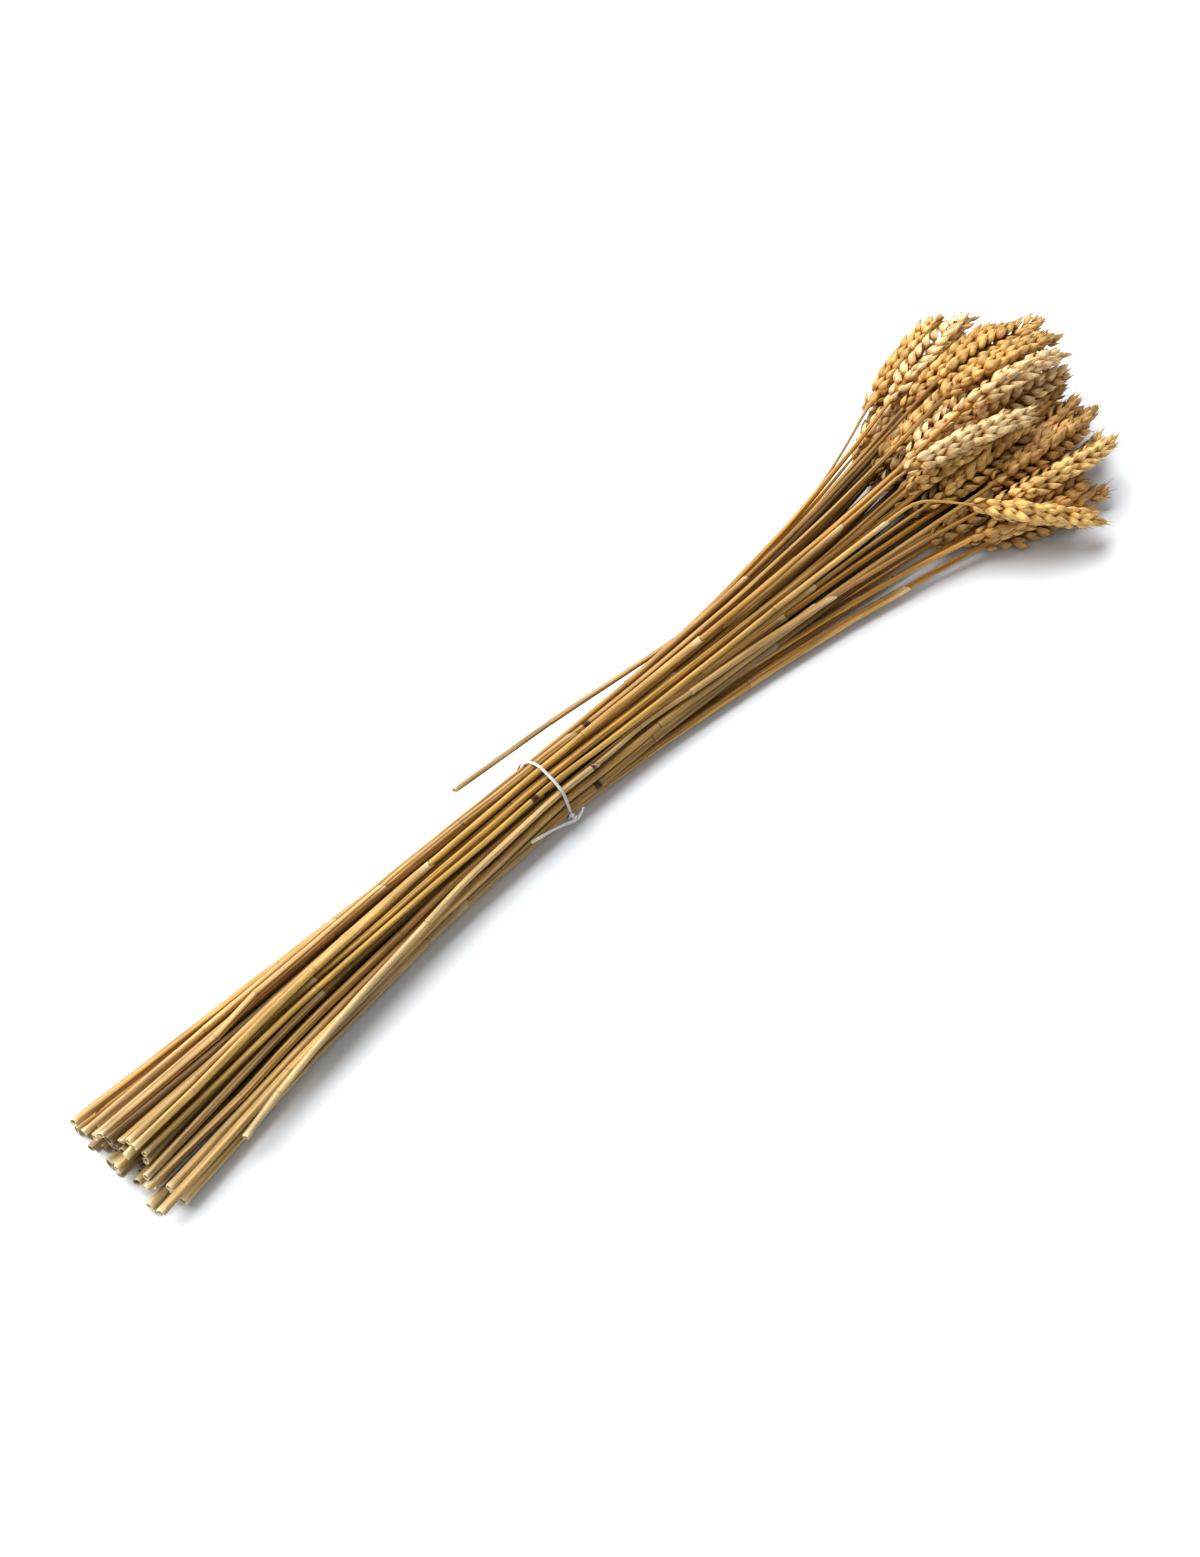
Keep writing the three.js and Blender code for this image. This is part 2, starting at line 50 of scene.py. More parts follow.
PICTURE = np.array([1200, 1557])  # pixels
AZIMUTH, ELEVATION = np.radians([-45.5, 54.0])
DISTANCE = 1.8
TARGET = np.array([-30.4, -4.1, 15]) * MM
FOCAL_PIXELS = 3402
SENSOR = 36  # for the picture's long side, in millimetres

BACK = np.array(
    [
        np.sin(AZIMUTH) * np.cos(ELEVATION),
        -np.cos(AZIMUTH) * np.cos(ELEVATION),
        np.sin(ELEVATION),
    ]
)
RIGHT = np.array([np.cos(AZIMUTH), np.sin(AZIMUTH), 0])
TOP = np.cross(BACK, RIGHT)
EYE = TARGET + DISTANCE * BACK

camera = bpy.data.objects.new("camera", bpy.data.cameras.new("camera"))
camera.data.sensor_width = SENSOR
camera.data.lens = FOCAL_PIXELS / PICTURE.max() * SENSOR
camera.data.clip_start = 0.01
camera.matrix_world = Matrix.Translation(EYE) @ Matrix(np.stack([RIGHT, TOP, BACK], 1).tolist()).to_4x4()
bpy.context.collection.objects.link(camera)
bpy.context.scene.camera = camera


def in_picture(points):
    """Pixels and nearness of points: each is divided by its depth in front of the eye, along
    the picture's right and up, and nearness is how far it stands towards the eye."""
    away = points - EYE
    depth = -away @ BACK
    pixels = np.stack([away @ RIGHT, -(away @ TOP)], -1) * FOCAL_PIXELS / depth[..., None]
    return pixels + PICTURE / 2, -depth


# ------------------------------------------------------------------ table and light
# A white table, lit from beyond the bundle on its upper left by one large soft
# lamp, with little light from elsewhere. The table burns out to plain white.

TABLE_SIZE = 8
TABLE_DROP = 0.1 * MM  # its top is a hair under the lowest straw
SUN = ((-0.2, 0.7, 1.0), 4.8, np.radians(64))  # where from, how strong and how wide
FILL_LIGHT = ((-0.3, -0.6, 1.0), 0.5, np.radians(50))
SKY_STRENGTH, SKY_TINT = 0.11, (0.8, 0.95, 1.16, 1)
WHITE = (0.875, 0.9, 0.92, 1)  # a little blue, against the light that the straws throw on it

table_mesh = bpy.data.meshes.new("table")
edge = TABLE_SIZE / 2
table_mesh.from_pydata(
    [(-edge, -edge, 0), (edge, -edge, 0), (edge, edge, 0), (-edge, edge, 0)], [], [(0, 1, 2, 3)]
)
table = bpy.data.objects.new("table", table_mesh)
bpy.context.collection.objects.link(table)
table.location.z = -TABLE_DROP
table_paint = bpy.data.materials.new("table white")
table_paint.use_nodes = True
table_shader = table_paint.node_tree.nodes["Principled BSDF"]
table_shader.inputs["Base Color"].default_value = WHITE
table_shader.inputs["Roughness"].default_value = 0.9
table_shader.inputs["Specular IOR Level"].default_value = 0.1
table_mesh.materials.append(table_paint)

for name, (towards, strength, width) in {"sun": SUN, "fill": FILL_LIGHT}.items():
    lamp = bpy.data.objects.new(name, bpy.data.lights.new(name, "SUN"))
    lamp.data.energy = strength
    lamp.data.angle = width
    lamp.rotation_euler = Vector(towards).to_track_quat("Z", "Y").to_euler()
    bpy.context.collection.objects.link(lamp)

world = bpy.context.scene.world or bpy.data.worlds.new("world")
bpy.context.scene.world = world
world.use_nodes = True
sky = world.node_tree.nodes["Background"]
sky.inputs["Color"].default_value = SKY_TINT
sky.inputs["Strength"].default_value = SKY_STRENGTH
bpy.context.scene.view_settings.view_transform = "Standard"
bpy.context.scene.view_settings.look = "Medium High Contrast"

# ------------------------------------------------------------------ how the stalks lie
# Every stalk grew as one piece, and lies squeezed against its neighbours. Its
# course, its thickness and the turn of its ear are read from its solid.

UP = np.array([0.0, 0.0, 1.0])
SLICE = 2 * MM  # between the cuts that a solid is read by
BORE_DEPTH = 9 * MM  # the solids are hollow this deep at their cut end
BORE_CLEAR = 3 * MM  # and are first cut this far past it
MOUTH = 1.2 * MM  # what lies this close to the lowest x is the cut end
HEXAGON = 1.5 * np.sqrt(3)  # the area of a six-sided section whose corners are one from its middle
EAR_SPAN = (70 * MM, 97 * MM)  # an ear's foot is this far from its tip
FOOT_SWELL = 1.3  # and is no thicker than this against the thinnest place there
EAR_CLEAR = 6 * MM  # corners this far past the foot belong to the ear
AXIS_POINTS = 42  # along the middle of an ear
SOFTEN = 8 * MM  # over what length a bend is rounded
THICK_SOFTEN = 6  # over how many slices a change of thickness is
SHEATH_DROP = 0.91  # a straw that thins to this share at once leaves its sheath
SHEATH_CLEAR = 6  # slices below the ear in which no sheath ends
BARE = 0.86  # a bare straw against one in its sheath
LOWEST = 0.05 * MM  # nothing dips under this height


def unit(vectors):
    """Vectors divided by their own lengths."""
    return vectors / np.linalg.norm(vectors, axis=-1, keepdims=True)


def corners_of(node):
    """The corners of a solid's triangles: triangle, corner, axis."""
    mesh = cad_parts[node].data
    mesh.calc_loop_triangles()
    index = np.empty(len(mesh.loop_triangles) * 3, np.int32)
    mesh.loop_triangles.foreach_get("vertices", index)
    places = np.empty(len(mesh.vertices) * 3, np.float32)
    mesh.vertices.foreach_get("co", places)
    return places.reshape(-1, 3)[index].reshape(-1, 3, 3).astype(float)


def cut_at(corners, x):
    """The straight pieces, end to end, that a plane of constant x cuts from a solid: on each
    edge that crosses it, the point that shares the edge as the plane does."""
    side = corners[..., 0] - x
    met = (side.min(1) < 0) & (side.max(1) > 0)
    here, side = corners[met], side[met]
    then, side_then = np.roll(here, -1, 1), np.roll(side, -1, 1)
    crosses = (side < 0) != (side_then < 0)
    share = np.divide(side, side - side_then, out=np.zeros_like(side), where=crosses)
    return (here + (then - here) * share[..., None])[crosses].reshape(-1, 2, 3)


def middle_and_area(pieces):
    """The mean of a cut's pieces weighted by their lengths, and the area they go round: the sum
    of the triangles that they make with that middle."""
    lengths = np.linalg.norm(pieces[:, 1] - pieces[:, 0], axis=1)
    middle = (pieces.mean(1) * lengths[:, None]).sum(0) / lengths.sum()
    a, b = pieces[:, 0] - middle, pieces[:, 1] - middle
    return middle, np.abs(a[:, 1] * b[:, 2] - a[:, 2] * b[:, 1]).sum() / 2


def softened(rows, reach):
    """Each row replaced by the mean of its neighbours, weighted by a bell curve that is reach
    rows wide. Past both ends the rows run on straight."""
    half = int(3 * reach)
    bell = np.exp(-0.5 * (np.arange(-half, half + 1) / reach) ** 2)
    before = 2 * rows[0] - rows[half:0:-1]
    after = 2 * rows[-1] - rows[-2 : -half - 2 : -1]
    longer = np.concatenate([before, rows, after]).reshape(len(rows) + 2 * half, -1)
    soft = [np.convolve(column, bell / bell.sum(), "valid") for column in longer.T]
    return np.stack(soft, 1).reshape(rows.shape)


def along(points):
    """How far along a line its points are."""
    return np.append(0, np.cumsum(np.linalg.norm(np.diff(points, axis=0), axis=1)))


class Course:
    """A smooth line through points. At each of them it has a forward direction, the level left
    of it and the direction over it, and in between they are blended by distance."""

    def __init__(self, points):
        self.s = along(points)
        forward = unit(np.gradient(points, self.s, axis=0))
        left = unit(np.cross(UP, forward))
        self.columns = np.hstack([points, forward, left, np.cross(forward, left)])
        self.length = self.s[-1]

    def at(self, s):
        """Middle, forward, left and over at each distance s. Past its ends it runs on straight."""
        s = np.asarray(s, float)
        inside = np.clip(s, 0, self.length)
        found = np.stack([np.interp(inside, self.s, column) for column in self.columns.T], -1)
        middle, forward, left, over = np.split(found, 4, -1)
        return middle + forward * (s - inside)[..., None], forward, left, over


class Stalk:
    """A stalk as its solid lies: its course, where its ear starts, its full thickness, where
    its leaf sheath ends, and the turn of its ear."""

    def __init__(self, node):
        self.node = node
        corners = corners_of(node)
        spots = np.unique(corners.reshape(-1, 3).round(7), axis=0)
        mouth = spots[spots[:, 0] < spots[:, 0].min() + MOUTH].mean(0)
        tip = spots[spots[:, 0].argmax()]
        planes = np.arange(mouth[0] + BORE_DEPTH + BORE_CLEAR, tip[0] - MM, SLICE)
        cuts = [middle_and_area(cut_at(corners, x)) for x in planes]
        middles = np.array([middle for middle, _ in cuts])
        s = along(np.vstack([mouth, middles, tip]))
        slope = np.gradient(planes, s[1:-1])
        thick = np.sqrt(np.array([area for _, area in cuts]) * slope / HEXAGON)

        # The middle of the ear is a line from its foot to its tip, bowed as its cuts are.
        to_tip = s[-1] - s[1:-1]
        near = np.flatnonzero((to_tip > EAR_SPAN[0]) & (to_tip < EAR_SPAN[1]))
        foot_at = near[thick[near] < FOOT_SWELL * thick[near].min()][-1]
        foot = middles[foot_at]
        share = (planes[foot_at + 1 :] - foot[0]) / (tip[0] - foot[0])
        bow = 4 * share * (1 - share)
        off = middles[foot_at + 1 :] - foot - share[:, None] * (tip - foot)
        bulge = (off * bow[:, None]).sum(0) / (bow**2).sum()
        share = np.linspace(0, 1, AXIS_POINTS + 1)[1:, None]
        axis = foot + share * (tip - foot) + 4 * share * (1 - share) * bulge

        rough = np.vstack([mouth, middles[: foot_at + 1], axis])
        steps = np.arange(0, along(rough)[-1], SLICE)
        even = np.stack([np.interp(steps, along(rough), column) for column in rough.T], 1)
        self.course = Course(softened(even, SOFTEN / SLICE))
        self.foot = s[foot_at + 1]

        straw, straw_s = thick[: foot_at + 1], s[1 : foot_at + 2]
        drop = straw[2:] / straw[:-2]
        at = drop[:-SHEATH_CLEAR].argmin()
        if drop[at] >= SHEATH_DROP:
            at = len(straw_s) // 2 - 1
        self.sheath_end = straw_s[at + 1]
        bare = np.where(straw_s > self.sheath_end, BARE, 1)
        self.thick_s, self.thick = straw_s, softened(straw / bare, THICK_SOFTEN)

        # The ear is turned the way that its corners spread the most.
        lengthwise = unit(tip - foot)
        in_ear = spots[(spots - foot) @ lengthwise > EAR_CLEAR]
        centre, _, left, over = self.course.at(self.foot + (in_ear - foot) @ lengthwise)
        a = ((in_ear - centre) * left).sum(1)
        b = ((in_ear - centre) * over).sum(1)
        self.roll = 0.5 * np.arctan2(2 * (a * b).sum(), (a * a - b * b).sum())

    def full_thickness(self, s):
        """Half the thickness that there is room for, at each distance s from the cut end."""
        return np.interp(s, self.thick_s, self.thick)


TIE_NODE = "twist_tie"
tie_corners = corners_of(TIE_NODE)
# Most corners of the tie's solid share one of the two x values of its band.
tie_xs, tie_counts = np.unique(tie_corners[..., 0].round(6), return_counts=True)
TIE_X = tie_xs[tie_counts.argsort()[-2:]].mean()
stalks = [Stalk(node) for node in sorted(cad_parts) if node.startswith("stalk")]

# ------------------------------------------------------------------ the straws
# Hollow stems with shining skins, cut off straight below. Each has a few joints,
# dark or pale, and above a joint the sheath of the stripped leaf still hugs it.

SIDES = 30
RING_STEP = 6 * MM
FILL = 0.93  # a round straw against the solid's six-sided one
UPPER_FILL = 1.45  # the same below the ear, where there is more room
UNDER_FILL, UNDER_UPPER_FILL = 1.2, 2.2  # both for the stalks under those that show
STRAY_FILL = 1.45  # and for the stray one, which is alone
ROOM_FROM, ROOM_OVER = 0.45, 0.4  # that room grows from here on and over this share of the straw
THICK_OR_THIN = (0.84, 1.08)  # no two straws are alike
BELOW = 0.92  # a straw under its lowest sheath, against the full thickness
ABOVE = 0.78  # and above a sheath's end
OVAL, SQUASHED, CUT_FADE = 0.025, (0.0, 0.12), 14 * MM  # oval all along, and more near the cut
LAP = 0.035  # how far a sheath's edge stands off, as a share of the radius
# The cut end's rings, from the floor of its bore and out over its rim: place in mm, thickness.
MOUTH_ROWS = [(8, 0.58), (3, 0.64), (0, 0.68), (0, 0.9), (0.35, 0.96), (1.2, 0.96)]
BORE_RINGS, RIM_RINGS = 2, 2  # of those, the first ones are in the bore, and the next on the rim
CUT_SLANT = (0.1, 0.9)  # in mm
FIRST_RING = 4 * MM
# A joint's rings: how far along in mm, thickness, and darkness.
DARK_JOINT = [
    (-3.3, 1.0, 0), (-2.6, 1.07, 0.05), (-2.2, 1.02, 0.85), (-1.1, 0.96, 1), (0.9, 0.95, 1),
    (1.8, 1.0, 0.95), (2.3, 1.08, 0.1), (3.3, 1.0, 0),
]
PALE_JOINT = [
    (-2.6, 1.0, 0), (-1.4, 1.03, 0.04), (-0.7, 1.07, 0.1), (0, 0.98, 0.32), (0.6, 1.07, 0.05),
    (1.5, 1.04, 0.0), (2.8, 1.0, 0),
]
JOINT_HALF = 3.6 * MM
# A sheath's end: how far along in mm, thickness, darkness, and sheath (1) or straw (0).
SHEATH_RINGS = [
    (-0.5, 1, 0, 1), (0, 1, 0, 1), (0.03, 0.97, 0.1, 1), (0.06, ABOVE, 0.6, 0), (1.2, ABOVE, 0.1, 0),
]
SHEATH_RINGS_HALF = 1.5 * MM
SLANT_LIMIT, SLANT_SHARE = 4 * MM, (0.3, 1)  # how far a sheath's end runs up the straw
SLANT_WAVES = (0.8, 0.12, 0.08)  # shares of that, once, three times and seven times round
KINK, KINK_FADE = 1.1 * MM, 45 * MM  # how far it shifts at a joint, and how near to tie and ear
CREASES, CREASE_WIDE = 4, 0.2  # how many, and half the width of one round the straw in radians
CREASE_DEPTH = (0.06, 0.26)  # of the radius
SWAY, SWAY_LENGTH = 0.4, 60 * MM  # how far round a crease wanders, in radians, and how slowly
RACHIS = np.linspace(0.02, 0.94, 24)  # the stem inside the ear: its rings, as shares of the ear
RACHIS_THICK_AT, RACHIS_THICK = [0, 0.06, 1], [1.0, 2.2, 0.9]  # shares of the ear, and mm
ZIGZAG = 0.5 * MM
JOINTS_APART = (115 * MM, 175 * MM)
JOINTS_CLEAR = 30 * MM  # two joints are never closer
DARK_ODDS = 0.15
SHEATH_LENGTH = (80 * MM, 140 * MM)
LOWEST_SHEATH, LOWEST_JOINT = 6 * MM, 10 * MM
ENDS_CLEAR = 12 * MM  # no joint is closer to an end
TOP_INTERNODE = 230 * MM  # the last length of straw, below the ear, has no joint

# Joints and sheath ends that show in the photograph, in pixels.
SEEN_DARK_JOINTS = [(537, 800), (597, 770), (597, 786), (586, 724), (672, 634)]
SEEN_PALE_JOINTS = [
    (193, 1073), (273, 1036), (216, 1047), (355, 967), (398, 930), (252, 1055), (320, 1005),
]
SEEN_SHEATH_ENDS = [(383, 888), (465, 905), (433, 862), (830, 597), (818, 590), (745, 575)]
SEEN_WITHIN = 3  # a straw this close to the pixel is on it
NEAR_COST, OFF_COST = 0.4 * MM, 4 * MM  # for each pixel away, and for each one past that


def linear(red, green, blue):
    """A colour as the eye sees it, from 0 to 255, as amounts of light."""
    seen = np.array([red, green, blue]) / 255
    return np.where(seen <= 0.04045, seen / 12.92, ((seen + 0.055) / 1.055) ** 2.4)


def blend(one, other, share):
    """One colour or place moved to another by a share of the way."""
    return one + (other - one) * share


def rising(value, start, over):
    """From 0 to 1 as a value passes a start and the stretch over which it rises."""
    return np.clip((value - start) / over, 0, 1)


def fading(place, length):
    """One at the cut end, and e times less for each length along the straw."""
    return np.exp(-np.maximum(place, 0) / length)


# Across the bundle at its cut ends, from the right to the left: a place and a colour.
STRAW_LOW_AT = np.array([-41, -31, -20, -8, 4, 16, 28]) * MM
STRAW_LOW = [linear(202, 176, 124), linear(196, 160, 98), linear(184, 146, 82), linear(188, 152, 78),
             linear(190, 154, 84), linear(198, 160, 102), linear(206, 148, 64)]
STRAW_HIGH = [linear(188, 140, 64), linear(164, 126, 60), linear(184, 144, 76), linear(150, 106, 48)]
STRAW_HIGH_ODDS = [0.35, 0.25, 0.25, 0.15]
HIGH_FROM, HIGH_OVER = 0.3, 0.6  # a straw takes its upper colour from here on, over this share
STRAW_MIX = 6  # by how many mm the places of the colours are mixed
STRAW_SHADE = (0.82, 1.12)
STRAY_TINT = linear(190, 158, 110)
SEEN_STALKS = 23  # the first ones show; the others lie under them, and their tints are darkened by these shares as painted shade:
UNDER_PAINTED_SHADE, UNDER_HIGH_PAINTED_SHADE, UNDER_RIM_PAINTED_SHADE, UNDER_EAR_PAINTED_SHADE = 0.7, 0.32, 0.55, 0.52
CREASE_PAINTED_SHADE = np.array([0.3, 0.46, 0.62])  # painted shade: the creases are darkened, towards brown
SHEATH_TINT, SHEATH_SHARE = linear(200, 162, 102), 0.45
SHEATH_END_TINT, SHEATH_END_SHARE, SHEATH_END_LENGTH = linear(226, 200, 156), 0.8, 5 * MM
JOINT_DARK = linear(62, 36, 16)
LOW_END_DARKENING, LOW_END_DARKENING_LENGTH = 0.18, 70 * MM  # the low ends are darker, by this share over this length
BLEACHED, BLEACHED_LENGTH = (0.0, 0.3), 45 * MM  # and some are pale
CUT_CREAM, CREAM_SHARE, CREAM_LENGTH = linear(230, 210, 166), 0.8, 2.5 * MM
# painted shade: the inside of the hollow cut end is a dark brown
BORE_PAINTED_SHADE = linear(120, 88, 48)


def seen_on(pixels):
    """The stalk, and the place along it, that shows at a pixel: of all points of all straws,
    the one that stands nearest to the eye, less what its distance from the pixel costs."""
    best = (-np.inf, 0, 0)
    for number, stalk in enumerate(stalks):
        s = np.arange(ENDS_CLEAR, stalk.foot - ENDS_CLEAR, SLICE)
        at, near = in_picture(stalk.course.at(s)[0])
        away = np.linalg.norm(at - pixels, axis=1)
        score = near - away * NEAR_COST - np.maximum(away - SEEN_WITHIN, 0) * OFF_COST
        i = score.argmax()
        best = max(best, (score[i], number, s[i]))
    return best[1:]


seen_dark, seen_pale, seen_ends = (
    [seen_on(np.array(pixels)) for pixels in places]
    for places in (SEEN_DARK_JOINTS, SEEN_PALE_JOINTS, SEEN_SHEATH_ENDS)
)


def joints_and_sheaths(number, stalk, rng):
    """Where a straw has joints (place, dark or not) and sheaths (from, to). Each sheath grows
    from a joint, and one ends where the solid's does. More joints follow down and up."""
    joints = [(s, True) for n, s in seen_dark if n == number]
    joints += [(s, False) for n, s in seen_pale if n == number]
    sheaths = []
    for end in [stalk.sheath_end] + [s for n, s in seen_ends if n == number]:
        start = max(end - rng.uniform(*SHEATH_LENGTH), LOWEST_SHEATH)
        sheaths.append((start, end))
        if start > LOWEST_JOINT:
            joints.append((start, False))
    first = sheaths[0][0]
    for way in (-1, 1):
        s = first + way * rng.uniform(*JOINTS_APART)
        while ENDS_CLEAR < s < stalk.foot - TOP_INTERNODE:
            joints.append((s, rng.random() < DARK_ODDS))
            s += way * rng.uniform(*JOINTS_APART)
    kept = []
    for s, dark in joints:
        if all(abs(s - other) > JOINTS_CLEAR for other, _ in kept):
            kept.append((s, dark))
    return kept, sheaths


def straw_rings(stalk, joints, sheaths, rng):
    """A straw's rings from above its rim up to the foot of its ear. A row holds place,
    thickness against the full one, slant, darkness and sheath."""

    def cover(s):
        inside = any(low < s < high for low, high in sheaths)
        return 1 if inside else BELOW if s < sheaths[0][0] else ABOVE

    taken = [(s - JOINT_HALF, s + JOINT_HALF) for s, _ in joints]
    rows = []
    for s, dark in joints:
        for step, size, darkness in DARK_JOINT if dark else PALE_JOINT:
            here = s + step * MM
            rows.append([here, size * cover(here), 0, darkness, cover(here) == 1])
    for _, high in sheaths:
        slant = rng.uniform(*SLANT_SHARE) * SLANT_LIMIT
        taken.append((high - slant - SHEATH_RINGS_HALF, high + slant + SHEATH_RINGS_HALF))
        for step, size, darkness, sheathed in SHEATH_RINGS:
            rows.append([high + step * MM, size, slant, darkness, sheathed])
    for s in np.arange(FIRST_RING, stalk.foot, RING_STEP):
        if not any(low < s < high for low, high in taken):
            rows.append([s, cover(s), 0, 0, cover(s) == 1])
    return np.array(sorted(rows), float)


def kinks(stalk, joints, rng):
    """Sideways and upward shifts along a straw: it runs straight from joint to joint and turns
    a little at each. They fade out towards the tie and the ear."""
    at = np.array(sorted([0.0, *(s for s, _ in joints), stalk.foot]))
    shifts = rng.normal(0, 1, (2, len(at))) * np.array([[KINK], [KINK / 2]])

    def shift(place):
        free = 1 - np.exp(-(((stalk.course.at(place)[0][..., 0] - TIE_X) / KINK_FADE) ** 2))
        free = free * np.clip((stalk.foot - place) / KINK_FADE, 0, 1)
        return [free * np.interp(place, at, row) for row in shifts]

    return shift


def faces_between(rings, around):
    """Four-cornered faces of a grid whose rows are closed rings. They face away from the line
    that the rings follow."""
    i, j = np.meshgrid(np.arange(rings - 1), np.arange(around), indexing="ij")
    k = (j + 1) % around
    corners = [i * around + j, i * around + k, (i + 1) * around + k, (i + 1) * around + j]
    return np.stack(corners, -1).reshape(-1, 4)


def end_caps(rings, around):
    """Triangles that close the first and the last ring of such a grid. Each meets in a pole,
    and the two poles follow the grid's points."""
    count = rings * around
    j = np.arange(around)
    k = (j + 1) % around
    first = np.stack([np.full(around, count), k, j], 1)
    last = np.stack([np.full(around, count + 1), count - around + j, count - around + k], 1)
    return first, last


def straw_surface(number, stalk, rng):
    """The skin of a straw. Round its course, which kinks at the joints, each point stands off
    the middle by the thickness there, times small waves for its oval section and its sheath's
    lapped edge, less a bell curve for each crease. A slanted ring shifts its points along by a
    cosine. Returns points, tints, grain and faces."""
    joints, sheaths = joints_and_sheaths(number, stalk, rng)
    rows = straw_rings(stalk, joints, sheaths, rng)
    theta = np.arange(SIDES) * 2 * np.pi / SIDES
    turn = rng.uniform(0, 2 * np.pi, 5)

    ear = stalk.course.length - stalk.foot
    rachis = np.zeros((len(RACHIS), 5))
    rachis[:, 0] = stalk.foot + RACHIS * ear
    mouth = np.zeros((len(MOUTH_ROWS), 5))
    mouth[:, :2] = MOUTH_ROWS
    mouth[:, 0] *= MM
    mouth[:, 2] = rng.uniform(*CUT_SLANT) * MM
    rings = np.vstack([mouth, rows, rachis])
    s, size, slant, dark, sheathed = (rings[:, i, None] for i in range(5))

    once, thrice, seven_times = SLANT_WAVES
    wave = once * np.cos(theta - turn[0]) + thrice * np.sin(3 * theta + turn[1])
    place = s + slant * (wave + seven_times * np.sin(7 * theta + turn[2]))
    rise = rising(place / stalk.foot, ROOM_FROM, ROOM_OVER)
    below, above = (FILL, UPPER_FILL) if number < SEEN_STALKS else (UNDER_FILL, UNDER_UPPER_FILL)
    if number == 0:
        below = above = STRAY_FILL
    size = size * rng.uniform(*THICK_OR_THIN)
    radius = size * (below + (above - below) * rise) * stalk.full_thickness(place)
    radius[-len(RACHIS) :] = np.interp(RACHIS, RACHIS_THICK_AT, RACHIS_THICK)[:, None] * MM
    flat = OVAL + rng.uniform(*SQUASHED) * fading(s, CUT_FADE)
    radius = radius * (1 + flat * np.cos(2 * (theta - turn[3])))
    lap = (theta - turn[4]) % (2 * np.pi) / (2 * np.pi)
    radius = radius * (1 + sheathed * LAP * (lap - 0.5))
    crease = np.zeros_like(place)
    for depth in rng.uniform(*CREASE_DEPTH, CREASES):
        start, sway = rng.uniform(0, 2 * np.pi, 2)
        off = theta - start - SWAY * np.sin(place / SWAY_LENGTH + sway)
        off = (off + np.pi) % (2 * np.pi) - np.pi
        crease = np.maximum(crease, depth * np.exp(-((off / CREASE_WIDE) ** 2)))
    crease = crease * (1 - fading(place, CUT_FADE))
    crease[-len(RACHIS) :] = 0
    radius = radius * (1 - crease)

    middle, _, left, over = stalk.course.at(place)
    aside, up = kinks(stalk, joints, rng)(place)
    middle = middle + aside[..., None] * left + up[..., None] * over
    wide = np.cos(stalk.roll) * left + np.sin(stalk.roll) * over
    zigzag = np.zeros(len(rings))
    zigzag[-len(RACHIS) :] = ZIGZAG * np.cos(np.arange(len(RACHIS)) * np.pi)
    points = middle + radius[..., None] * (
        np.cos(theta)[:, None] * left + np.sin(theta)[:, None] * over
    ) + zigzag[:, None, None] * wide
    points[..., 2] = np.maximum(points[..., 2], LOWEST)

    cut_y = stalk.course.at(0)[0][1] + rng.normal(0, STRAW_MIX) * MM
    low = STRAW_LOW[np.abs(STRAW_LOW_AT - cut_y).argmin()] if number else STRAY_TINT
    high = STRAW_HIGH[rng.choice(len(STRAW_HIGH), p=STRAW_HIGH_ODDS)]
    rise = rising(place / stalk.foot, HIGH_FROM, HIGH_OVER)[..., None]
    shade = rng.uniform(*STRAW_SHADE)
    # painted shade: the stalks under the others are darker, the more so towards the ear
    if number >= SEEN_STALKS:
        shade = shade * (UNDER_PAINTED_SHADE + (UNDER_HIGH_PAINTED_SHADE - UNDER_PAINTED_SHADE) * rise)
    tint = blend(shade * low, shade * high, rise)
    tint = blend(tint, SHEATH_TINT * shade, SHEATH_SHARE * sheathed[..., None])
    # painted shade in the creases
    tint = tint * (1 - CREASE_PAINTED_SHADE * crease[..., None] / CREASE_DEPTH[1])
    to_end = np.min([np.where(s <= end, end - s, 1) for _, end in sheaths], 0)
    pale = SHEATH_END_SHARE * fading(to_end, SHEATH_END_LENGTH) * sheathed
    tint = blend(tint, SHEATH_END_TINT * shade, pale[..., None])
    tint = blend(tint, JOINT_DARK, dark[..., None])
    tint = tint * (1 - LOW_END_DARKENING * fading(place, LOW_END_DARKENING_LENGTH))[..., None]
    bleached = rng.uniform(*BLEACHED) * fading(place, BLEACHED_LENGTH)
    tint = blend(tint, CUT_CREAM * shade, bleached[..., None])
    # painted shade on the cut rims of the stalks underneath
    rim = CUT_CREAM if number < SEEN_STALKS else CUT_CREAM * UNDER_RIM_PAINTED_SHADE
    tint = blend(tint, rim, CREAM_SHARE * fading(place, CREAM_LENGTH)[..., None])
    # painted shade inside the bore
    tint[:BORE_RINGS] = BORE_PAINTED_SHADE
    tint[BORE_RINGS : BORE_RINGS + RIM_RINGS] = rim

    grain = np.stack([radius * np.cos(theta), radius * np.sin(theta), place + number], -1)
    poles = [points[0].mean(0), points[-1].mean(0)]
    return (
        np.vstack([points.reshape(-1, 3), poles]),
        np.vstack([np.clip(tint, 0, 1).reshape(-1, 3), BORE_PAINTED_SHADE, tint[-1, 0]]),
        np.vstack([grain.reshape(-1, 3), grain[0, 0], grain[-1, 0]]),
        [faces_between(len(rings), SIDES), *end_caps(len(rings), SIDES)],
    )


# ------------------------------------------------------------------ the ears
# Two rows of spikelets climb a zigzag stem in turn. Each is a fan of dry husks,
# two glumes outside and three lemmas plump with grain, with short points.

SPIKELETS = (19, 23)  # on an ear
EAR_STARTS, EAR_ENDS = 0.0, 0.92  # where the first and last spikelets sit
SHAPE_AT, EAR_SHAPE = [0, 0.25, 0.5, 0.75, 1], [0.6, 0.96, 1, 0.82, 0.38]
GLUMES_ONLY = 2  # the lowest spikelets have no grain
AROUND = 8
